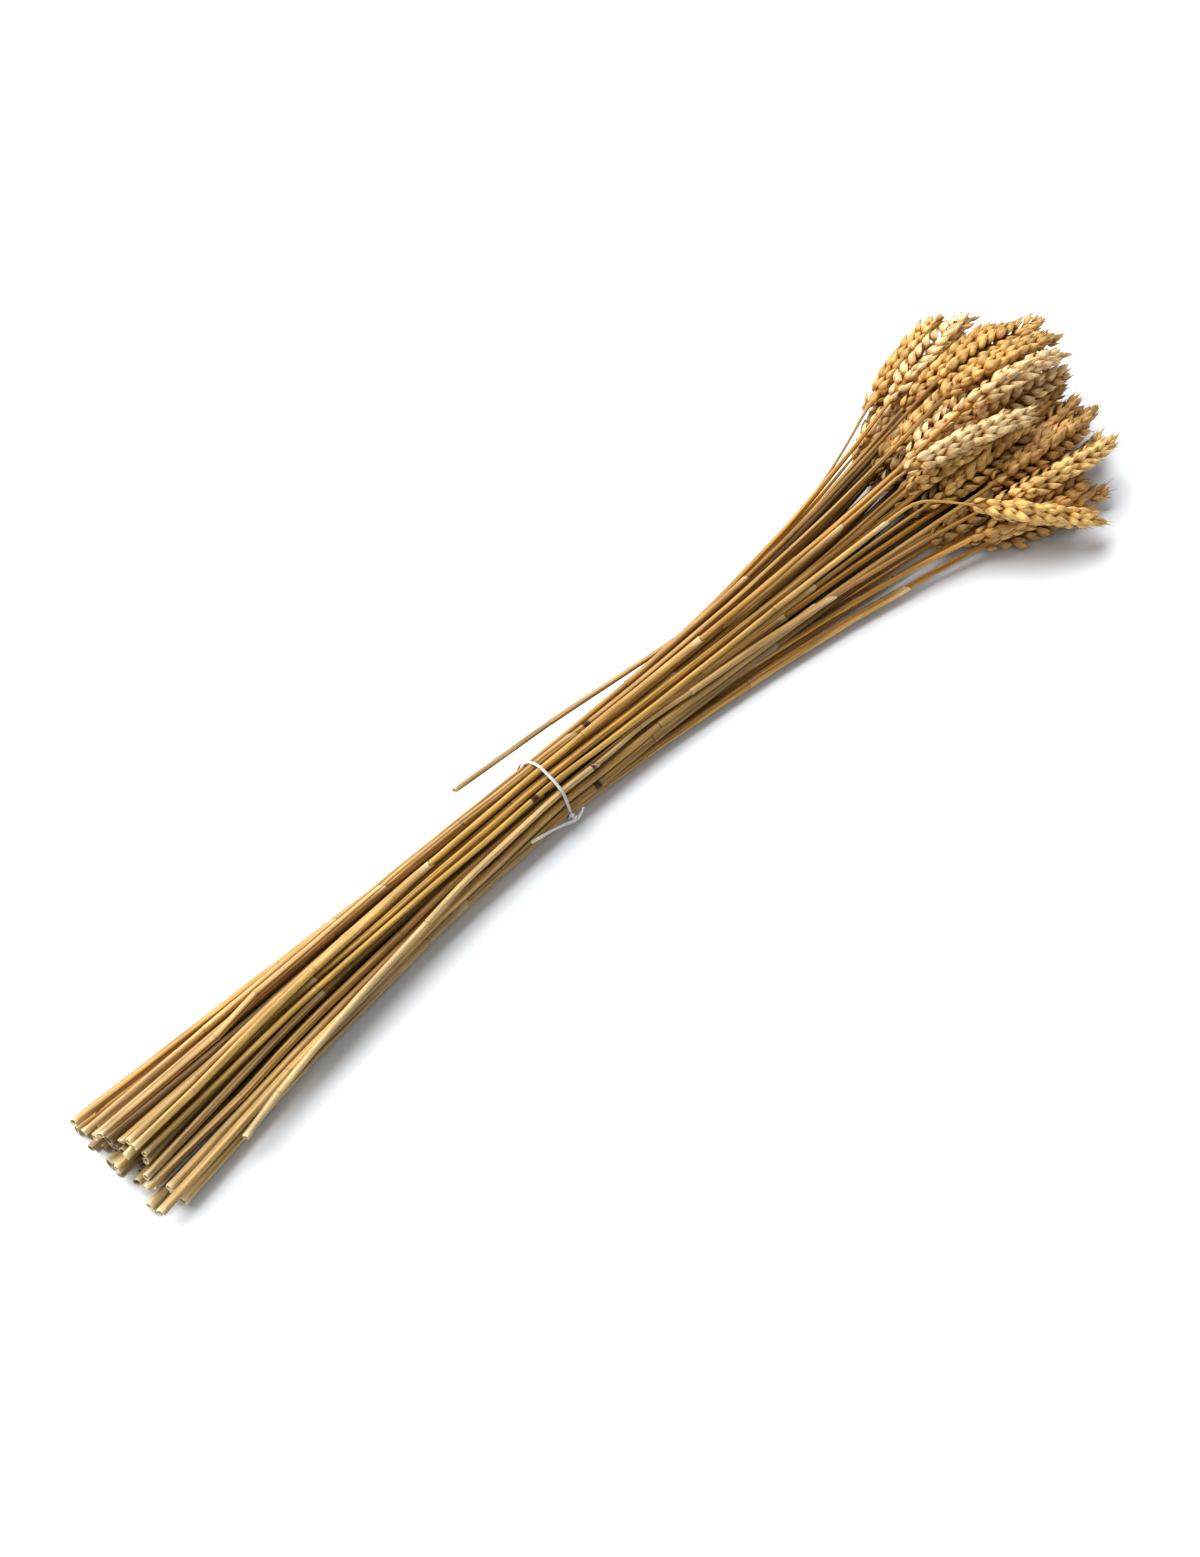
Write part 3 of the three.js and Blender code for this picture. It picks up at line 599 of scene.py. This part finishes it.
# A husk is one of these, and mirrored: sideways and its tilt, out and its tilt, up (mm and
# degrees), length, width and depth (mm), and the turn of its keel from straight outwards.
GLUME = (2.2, 19, 1.7, 15, 0.0, 9.2, 4.9, 2.9, 60)
LEMMA = (1.8, 12, 2.6, 23, 1.2, 10.6, 5.3, 3.9, 34)
MIDDLE_LEMMA = (0.0, 0, 3.2, 19, 2.8, 9.4, 4.8, 3.6, 0)

# What differs from spikelet to spikelet: size, outward lean, sideways lean and turn in degrees,
# shade, and place.
OWN_MIDDLE, OWN_SPREAD = [1, 0, 0, 0, 1, 0], [0.05, 3, 3.5, 5, 0.06, 0.006]
# What differs from ear to ear, and from husk to husk.
EAR_SIZE, EAR_OPEN, EAR_TWIST = (0.96, 1.06), (0.85, 1.2), (-40, 40)
HUSK_SPREAD, LEAN_OUT_SPREAD, LEAN_SIDE_SPREAD, SHADE_SPREAD = 0.045, 3, 3.5, 0.07
SPLAY, SPLAY_ODDS = 14, 0.07  # some husks stand off further, by these degrees
LEAST_SIZE, LEAST_LEAN = 0.35, 0.3  # husks are small and upright where the ear is thin
TOP_IN = 0.7  # the last spikelet sits this much nearer to the stem
SLIM_AT, SLIM, SLIM_LONGER = [0.72, 1], [1, 0.7], 0.4  # husks are slender at the ear's top
AWN_AT, AWN, AWN_VARIES = [0, 0.6, 1], [0.4, 1.2, 4.6], (0.3, 1.5)  # their points, in mm

# A husk's rings: how far up it, and how wide.
HUSK_UP = np.array([0.03, 0.13, 0.27, 0.44, 0.61, 0.77, 0.89, 0.965])
HUSK_WIDE = np.array([0.35, 0.75, 0.98, 0.97, 0.78, 0.49, 0.26, 0.13])
HUSK_DEEP, HUSK_FULLER = 0.62, 0.8  # its depth, and the power that keeps it deep near its ends
HUSK_FRONT, HUSK_KEEL, HUSK_BOW = 0.45, 1.12, 0.18  # front and keel against the back, and its bow


def husk_template():
    """A boat-shaped husk, one long: its half width swells and draws in to a point, its back is
    rounded with a keel, its front is flatter, and it bows so that its point leans in."""
    turn = np.arange(AROUND) * 2 * np.pi / AROUND
    back = np.where(np.cos(turn) > 0.01, 1.0, HUSK_FRONT)
    keel = np.where(np.arange(AROUND) == 0, HUSK_KEEL, 1.0)
    x = -HUSK_WIDE[:, None] * np.sin(turn) / 2
    y = HUSK_WIDE[:, None] ** HUSK_FULLER * (np.cos(turn) * back * keel) * HUSK_DEEP
    y = y + HUSK_BOW * np.sin(np.pi * HUSK_UP)[:, None]
    z = np.repeat(HUSK_UP[:, None], AROUND, 1)
    points = np.stack([x, y, z], -1).reshape(-1, 3)
    points = np.vstack([points, [0, 0, 0], [0, 0, 1]])
    return points, faces_between(len(HUSK_UP), AROUND), np.vstack(end_caps(len(HUSK_UP), AROUND))


HUSK, HUSK_QUADS, HUSK_CAPS = husk_template()

GOLD, BRIGHT, PALE = linear(204, 165, 99), linear(234, 196, 126), linear(230, 198, 146)
GREY_BEIGE, TAN, BROWN = linear(222, 192, 142), linear(226, 185, 113), linear(202, 158, 94)
DUSKY = linear(204, 162, 102)
EAR_TINTS = [  # of the stalks that show, in their order
    GOLD, PALE, PALE, GOLD, GOLD, GOLD, GOLD, PALE, PALE, PALE, BROWN, GREY_BEIGE,
    TAN, TAN, DUSKY, DUSKY, DUSKY, BRIGHT, BRIGHT, BROWN, BROWN, TAN, GOLD,
]
UNDER_EAR_TINTS = [GOLD, TAN, PALE, BROWN]
HUSK_POINT, POINT_FROM, POINT_SHARE = linear(168, 114, 50), 0.8, 0.5
# painted shade: a husk darkens towards brown at its foot, where the husks below lap over it
HUSK_FOOT_PAINTED_SHADE, FOOT_TO, FOOT_SHARE = linear(180, 120, 38), 0.42, 0.9
DULL, DULL_SHARE, DULL_ODDS = linear(180, 132, 66), (0, 0.45), 0.4


def ear_surface(number, stalk, rng):
    """The husks of an ear. Each is the template stretched by its length, width and depth along
    three directions: its own line, which leans out and sideways from the stem, its keel, and
    across both. Returns points, tints, grain and faces."""
    ear = stalk.course.length - stalk.foot
    rows = []
    spikelets = rng.integers(*SPIKELETS)
    for k in range(spikelets):
        t = EAR_STARTS + (EAR_ENDS - EAR_STARTS) * k / (spikelets - 1)
        side = 1 if k % 2 else -1
        last = k == spikelets - 1
        husks = [(GLUME, 1), (GLUME, -1), (LEMMA, 1), (LEMMA, -1), (MIDDLE_LEMMA, 1)]
        if k < GLUMES_ONLY:
            husks = husks[:2]
        for husk, hand in husks:
            rows.append([k, t, side, hand, last, *husk])
    rows = np.array(rows, float)
    t, side, hand, last = rows[:, 1:5].T
    sideways, lean_side, out, lean_out, up, long, wide, deep, keel = rows[:, 5:].T
    count = len(rows)
    own = rng.normal(OWN_MIDDLE, OWN_SPREAD, (spikelets, len(OWN_MIDDLE)))
    own_size, own_out, own_side, own_turn, own_shade, own_t = own[rows[:, 0].astype(int)].T
    t = t + own_t
    shape = np.interp(t, SHAPE_AT, EAR_SHAPE)
    size = (LEAST_SIZE + (1 - LEAST_SIZE) * shape) * own_size
    size = size * rng.normal(rng.uniform(*EAR_SIZE), HUSK_SPREAD, count)
    awn = np.interp(t, AWN_AT, AWN) * MM * rng.uniform(*AWN_VARIES, count)
    splay = SPLAY * (rng.random(count) < SPLAY_ODDS)
    lean_out = lean_out * rng.uniform(*EAR_OPEN) + splay + own_out + rng.normal(0, LEAN_OUT_SPREAD, count)
    lean_out = np.radians(lean_out * (LEAST_LEAN + (1 - LEAST_LEAN) * shape))
    lean_side = np.radians(lean_side * hand + own_side + rng.normal(0, LEAN_SIDE_SPREAD, count))
    keel = np.radians(keel * hand)

    middle, forward, left, over = stalk.course.at(stalk.foot + t * ear)
    roll = stalk.roll + last * np.pi / 2 + np.radians(own_turn + rng.uniform(*EAR_TWIST) * (t - 0.5))
    u = (np.cos(roll)[:, None] * left + np.sin(roll)[:, None] * over) * side[:, None]
    v = np.cross(forward, u)
    base = (
        middle
        + forward * (up * size * MM)[:, None]
        + u * (out * shape * (1 - TOP_IN * last) * MM)[:, None]
        + v * (sideways * hand * shape * MM)[:, None]
    )
    line = unit(
        forward * (np.cos(lean_out) * np.cos(lean_side))[:, None]
        + u * np.sin(lean_out)[:, None]
        + v * np.sin(lean_side)[:, None]
    )
    keeled = u * np.cos(keel)[:, None] + v * np.sin(keel)[:, None]
    y = unit(keeled - line * (keeled * line).sum(1)[:, None])
    x = np.cross(y, line)
    slim = np.interp(t, SLIM_AT, SLIM)
    template = HUSK[None] * np.stack([wide * slim, deep * slim, long / slim**SLIM_LONGER], 1)[:, None]
    template = template * size[:, None, None] * MM
    template[:, -1, 2] += awn
    points = base[:, None] + np.einsum("npi,nij->npj", template, np.stack([x, y, line], 1))
    points[..., 2] = np.maximum(points[..., 2], LOWEST)

    if number < SEEN_STALKS:
        tint = EAR_TINTS[number]
    else:
        # painted shade on the ears underneath
        tint = UNDER_EAR_PAINTED_SHADE * UNDER_EAR_TINTS[rng.integers(len(UNDER_EAR_TINTS))]
    dulled = rng.uniform(*DULL_SHARE, (count, 1)) * (rng.random((count, 1)) < DULL_ODDS)
    tint = blend(tint, DULL, dulled) * own_shade[:, None] * rng.normal(1, SHADE_SPREAD, (count, 1))
    height = HUSK[:, 2, None]
    # painted shade at each husk's foot, in the crevice under the husks below
    tint = blend(tint[:, None], HUSK_FOOT_PAINTED_SHADE, FOOT_SHARE * (1 - rising(height, 0, FOOT_TO)))
    tint = blend(tint, HUSK_POINT, POINT_SHARE * rising(height, POINT_FROM, 1 - POINT_FROM))
    grain = template + rng.uniform(0, 1, (count, 1, 3))

    shift = (np.arange(count) * len(HUSK))[:, None, None]
    return (
        points.reshape(-1, 3),
        np.clip(tint, 0, 1).reshape(-1, 3),
        grain.reshape(-1, 3),
        [(HUSK_QUADS + shift).reshape(-1, 4), (HUSK_CAPS + shift).reshape(-1, 3)],
    )


# ------------------------------------------------------------------ straw and husk skins
# Dry straw is silky and streaked along its fibres, with brown weather stains.
# Husks are duller, ribbed by fine nerves, and dusty.

NOISE_RANGE = (0.3, 0.7)  # most of a noise is within this
FIBRE_LIGHT, STRIPE_LIGHT, STAIN_LIGHT = (0.76, 1.24), (0.7, 1.25), (0.74, 1.2)  # times the tint
RELIEF = 0.1 * MM


def node(tree, kind, **settings):
    """A new shader node, with its properties set."""
    made = tree.nodes.new(kind)
    for name, value in settings.items():
        setattr(made, name, value)
    return made


def dry_plant(name, streaks, stripes, stains, roughness, bump):
    """A material that takes its colour from the tint of each point, times fine streaks and
    broad stripes that are drawn out along the grain, and stains. The streaks also roughen
    its surface."""
    made = bpy.data.materials.new(name)
    made.use_nodes = True
    tree = made.node_tree
    shader = tree.nodes["Principled BSDF"]
    tint = node(tree, "ShaderNodeAttribute", attribute_name="tint")
    grain = node(tree, "ShaderNodeAttribute", attribute_name="grain")

    def noise(scale, detail):
        stretch = node(tree, "ShaderNodeMapping")
        stretch.inputs["Scale"].default_value = scale
        tree.links.new(grain.outputs["Vector"], stretch.inputs["Vector"])
        made_noise = node(tree, "ShaderNodeTexNoise")
        made_noise.inputs["Scale"].default_value = 1
        made_noise.inputs["Detail"].default_value = detail
        tree.links.new(stretch.outputs["Vector"], made_noise.inputs["Vector"])
        return made_noise.outputs["Fac"]

    def spread(value, low, high):
        ramp = node(tree, "ShaderNodeMapRange")
        ramp.inputs["From Min"].default_value = NOISE_RANGE[0]
        ramp.inputs["From Max"].default_value = NOISE_RANGE[1]
        ramp.inputs["To Min"].default_value = low
        ramp.inputs["To Max"].default_value = high
        tree.links.new(value, ramp.inputs["Value"])
        return ramp.outputs["Result"]

    fibre = noise(streaks, 3)
    stain = noise(stains, 4)
    stripe = noise(stripes, 2)
    both = node(tree, "ShaderNodeMath", operation="MULTIPLY")
    tree.links.new(spread(fibre, *FIBRE_LIGHT), both.inputs[0])
    tree.links.new(spread(stripe, *STRIPE_LIGHT), both.inputs[1])
    light = node(tree, "ShaderNodeMath", operation="MULTIPLY")
    tree.links.new(both.outputs[0], light.inputs[0])
    tree.links.new(spread(stain, *STAIN_LIGHT), light.inputs[1])
    shaded = node(tree, "ShaderNodeVectorMath", operation="SCALE")
    tree.links.new(tint.outputs["Color"], shaded.inputs[0])
    tree.links.new(light.outputs[0], shaded.inputs["Scale"])
    tree.links.new(shaded.outputs[0], shader.inputs["Base Color"])
    tree.links.new(spread(fibre, *roughness), shader.inputs["Roughness"])
    relief = node(tree, "ShaderNodeBump")
    relief.inputs["Strength"].default_value = bump
    relief.inputs["Distance"].default_value = RELIEF
    tree.links.new(fibre, relief.inputs["Height"])
    tree.links.new(relief.outputs["Normal"], shader.inputs["Normal"])
    shader.inputs["Specular IOR Level"].default_value = 0.5
    return made


straw_skin = dry_plant(
    "dry straw",
    streaks=(2600, 2600, 60),
    stripes=(620, 620, 5),
    stains=(260, 260, 30),
    roughness=(0.36, 0.56),
    bump=0.5,
)
husk_skin = dry_plant(
    "dry husk",
    streaks=(2200, 2200, 120),
    stripes=(500, 500, 90),
    stains=(180, 180, 180),
    roughness=(0.5, 0.72),
    bump=0.6,
)

# ------------------------------------------------------------------ whole stalks
# Straw and ear are one piece, as they grew. Each dressed stalk takes the place
# of its solid and lies where the solid lies.

SEED = 7
SHARP = np.radians(62)  # an edge is smooth up to this


def mesh_of(name, surfaces, materials):
    """One mesh of several surfaces, each with a material of its own. A surface is points,
    tints, grain and a list of face arrays."""
    points, tints, grains, faces, kinds = [], [], [], [], []
    start = 0
    for kind, (point, tint, grain, sets) in enumerate(surfaces):
        points.append(point)
        tints.append(tint)
        grains.append(grain)
        for these in sets:
            faces += (these + start).tolist()
            kinds += [kind] * len(these)
        start += len(point)
    mesh = bpy.data.meshes.new(name)
    mesh.from_pydata(np.vstack(points).tolist(), [], faces)
    for material in materials:
        mesh.materials.append(material)
    mesh.polygons.foreach_set("material_index", kinds)
    mesh.polygons.foreach_set("use_smooth", [True] * len(faces))
    tints = np.vstack(tints)
    tint = mesh.attributes.new("tint", "FLOAT_COLOR", "POINT")
    tint.data.foreach_set("color", np.hstack([tints, np.ones((len(tints), 1))]).ravel())
    grain = mesh.attributes.new("grain", "FLOAT_VECTOR", "POINT")
    grain.data.foreach_set("vector", np.vstack(grains).ravel())
    mesh.set_sharp_from_angle(angle=SHARP)
    piece = bpy.data.objects.new(name, mesh)
    bpy.context.collection.objects.link(piece)
    return piece


for number, stalk in enumerate(stalks):
    rng = np.random.default_rng([SEED, number])
    surfaces = [straw_surface(number, stalk, rng), ear_surface(number, stalk, rng)]
    piece = mesh_of("wheat_" + stalk.node, surfaces, [straw_skin, husk_skin])
    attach(piece, "root")
    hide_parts(stalk.node)

# ------------------------------------------------------------------ the twist tie
# A strip of white paper glued over a fine wire, once round the bundle, with its
# ends twisted together at the side and left as a short and a long tail.

TIE_THICK = 0.9 * MM  # of its solid
TIE_WIDE = 1.9 * MM
# The strip's section: along it half its width is one, and across it are millimetres.
TIE_SECTION = np.array(
    [(1, 0), (0.94, 0.1), (0.45, 0.13), (0.2, 0.34),
     (0, 0.42), (-0.2, 0.34), (-0.45, 0.13), (-0.94, 0.1),
     (-1, 0), (-0.94, -0.1), (-0.45, -0.13), (-0.2, -0.34),
     (0, -0.42), (0.2, -0.34), (0.45, -0.13), (0.94, -0.1)]
)
TIE_LOOP, LOOP_SOFTEN = 120, 2.0
LONG_TAIL_XS = np.array([-6, -12, -18, -24, -30, -32.5]) * MM  # from the loop, along the bundle
SHORT_TAIL_XS = np.array([3.4, 4.6, 5.6]) * MM
KNOT_WIDE, KNOT_END = 1.4 * MM, 1.2 * MM  # how far its solid's knot reaches along, and its end out
TWISTS, TWIST_RADIUS, TWIST_POINTS = 1.5, 0.55 * MM, 26
TWIST_STARTS = 4  # the strips part from the loop over a quarter of the knot
TAIL_POINTS, TAIL_SOFTEN = 40, 1.2
ASKEW = 0.001  # so that the strip's width is never along it
PAPER_GREY, PAPER_WHITE = linear(176, 176, 172), linear(222, 222, 216)

around_tie = cut_at(tie_corners, TIE_X + MM)
tie_middle = (around_tie.min((0, 1)) + around_tie.max((0, 1))) / 2
tie_middle[0] = TIE_X


def inner_reach(pieces, middle, angles):
    """How far from the middle a ray at each angle first meets one of the pieces of a cut."""
    direction = np.stack([np.cos(angles), np.sin(angles)], 1)[:, None]
    a = pieces[:, 0, 1:] - middle[1:]
    span = pieces[:, 1, 1:] - pieces[:, 0, 1:]
    cross = direction[..., 0] * span[:, 1] - direction[..., 1] * span[:, 0]
    with np.errstate(divide="ignore", invalid="ignore"):
        away = (a[:, 0] * span[:, 1] - a[:, 1] * span[:, 0]) / cross
        share = (a[:, 0] * direction[..., 1] - a[:, 1] * direction[..., 0]) / cross
    away[~((share >= 0) & (share <= 1) & (away > 0))] = np.inf
    return away.min(1)


angles = np.arange(TIE_LOOP) * 2 * np.pi / TIE_LOOP
reach = inner_reach(around_tie, tie_middle, angles) + TIE_THICK / 2
loop = tie_middle + np.stack(
    [np.zeros(TIE_LOOP), reach * np.cos(angles), reach * np.sin(angles)], 1
)
loop = softened(np.vstack([loop, loop, loop]), LOOP_SOFTEN)[TIE_LOOP : 2 * TIE_LOOP]


def strip(points, wide, closed):
    """The flat strip with its wire along a line: at each point the section is laid out along
    the wide direction and across it."""
    ahead = np.roll(points, -1, 0) - np.roll(points, 1, 0) if closed else np.gradient(points, axis=0)
    ahead = unit(ahead)
    wide = unit(wide - ahead * (wide * ahead).sum(1)[:, None])
    face = np.cross(wide, ahead)
    w, t = TIE_SECTION.T
    rings = (
        points[:, None]
        + wide[:, None] * (w * TIE_WIDE / 2)[None, :, None]
        + face[:, None] * (t * MM)[None, :, None]
    )
    count = len(points)
    section = len(TIE_SECTION)
    faces = faces_between(count, section)
    if closed:
        seam = faces_between(2, section)
        seam = np.where(seam >= section, seam - section, seam + (count - 1) * section)
        return rings.reshape(-1, 3), [np.vstack([faces, seam])]
    ends = [np.arange(section)[::-1][None], ((count - 1) * section + np.arange(section))[None]]
    return rings.reshape(-1, 3), [faces, *ends]


def through(points, count):
    """A smooth line of count points through a few: cubic pieces whose slopes follow their
    neighbours."""
    points = np.asarray(points)
    before, after = 2 * points[0] - points[1], 2 * points[-1] - points[-2]
    longer = np.vstack([before, points, after])
    at = np.linspace(0, len(points) - 1 - 1e-9, count)
    i = at.astype(int)
    f = (at - i)[:, None]
    a, b, c, d = longer[i], longer[i + 1], longer[i + 2], longer[i + 3]
    return 0.5 * (2 * b + (c - a) * f + (2 * a - 5 * b + 4 * c - d) * f**2 + (3 * b - a - 3 * c + d) * f**3)


outmost = tie_corners.reshape(-1, 3)
outmost = outmost[np.abs(outmost[:, 0] - TIE_X) < KNOT_WIDE]
knot_end = outmost[outmost[:, 1] < outmost[:, 1].min() + KNOT_END].mean(0)
knot_angle = np.arctan2(knot_end[2] - tie_middle[2], knot_end[1] - tie_middle[1])
knot_start = loop[int(round(knot_angle / (2 * np.pi) * TIE_LOOP)) % TIE_LOOP]
tails = []
for offsets in (LONG_TAIL_XS, SHORT_TAIL_XS):
    tails.append([middle_and_area(cut_at(tie_corners, TIE_X + x))[0] for x in offsets])

out = unit(knot_end - knot_start)
across = np.cross(out, [1.0, 0, 0])
strips = [strip(loop, np.tile([1.0, 0, 0], (TIE_LOOP, 1)), True)]
for half, tail in enumerate(tails):
    t = np.linspace(0, 1, TWIST_POINTS)[:, None]
    turn = 2 * np.pi * TWISTS * t + half * np.pi
    coil = np.cos(turn) * np.array([1.0, 0, 0]) + np.sin(turn) * across
    twisted = blend(knot_start, knot_end, t) + coil * TWIST_RADIUS * np.minimum(t * TWIST_STARTS, 1)
    tail_line = through([twisted[-1], *tail], TAIL_POINTS)[1:]
    points = softened(np.vstack([twisted, tail_line]), TAIL_SOFTEN)
    wide = np.vstack([coil, np.tile(coil[-1], (len(tail_line), 1))])
    strips.append(strip(points, wide + ASKEW, False))

tie_mesh = bpy.data.meshes.new("paper_twist_tie")
all_points, all_faces = [], []
start = 0
for points, sets in strips:
    all_points.append(points)
    for these in sets:
        all_faces += (these + start).tolist()
    start += len(points)
tie_mesh.from_pydata(np.vstack(all_points).tolist(), [], all_faces)
tie_mesh.polygons.foreach_set("use_smooth", [True] * len(tie_mesh.polygons))
tie_mesh.set_sharp_from_angle(angle=SHARP)
tie = bpy.data.objects.new("paper_twist_tie", tie_mesh)
bpy.context.collection.objects.link(tie)

paper = bpy.data.materials.new("tie paper")
paper.use_nodes = True
paper_tree = paper.node_tree
paper_shader = paper_tree.nodes["Principled BSDF"]
paper_shader.inputs["Roughness"].default_value = 0.5
place = node(paper_tree, "ShaderNodeTexCoord")
fleck = node(paper_tree, "ShaderNodeTexNoise")
fleck.inputs["Scale"].default_value = 900
fleck.inputs["Detail"].default_value = 3
paper_tree.links.new(place.outputs["Object"], fleck.inputs["Vector"])
whites = node(paper_tree, "ShaderNodeMix", data_type="RGBA")
whites.inputs["A"].default_value = (*PAPER_GREY, 1)
whites.inputs["B"].default_value = (*PAPER_WHITE, 1)
paper_tree.links.new(fleck.outputs["Fac"], whites.inputs["Factor"])
paper_tree.links.new(whites.outputs["Result"], paper_shader.inputs["Base Color"])
tie_mesh.materials.append(paper)
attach(tie, "root")
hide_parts(TIE_NODE)
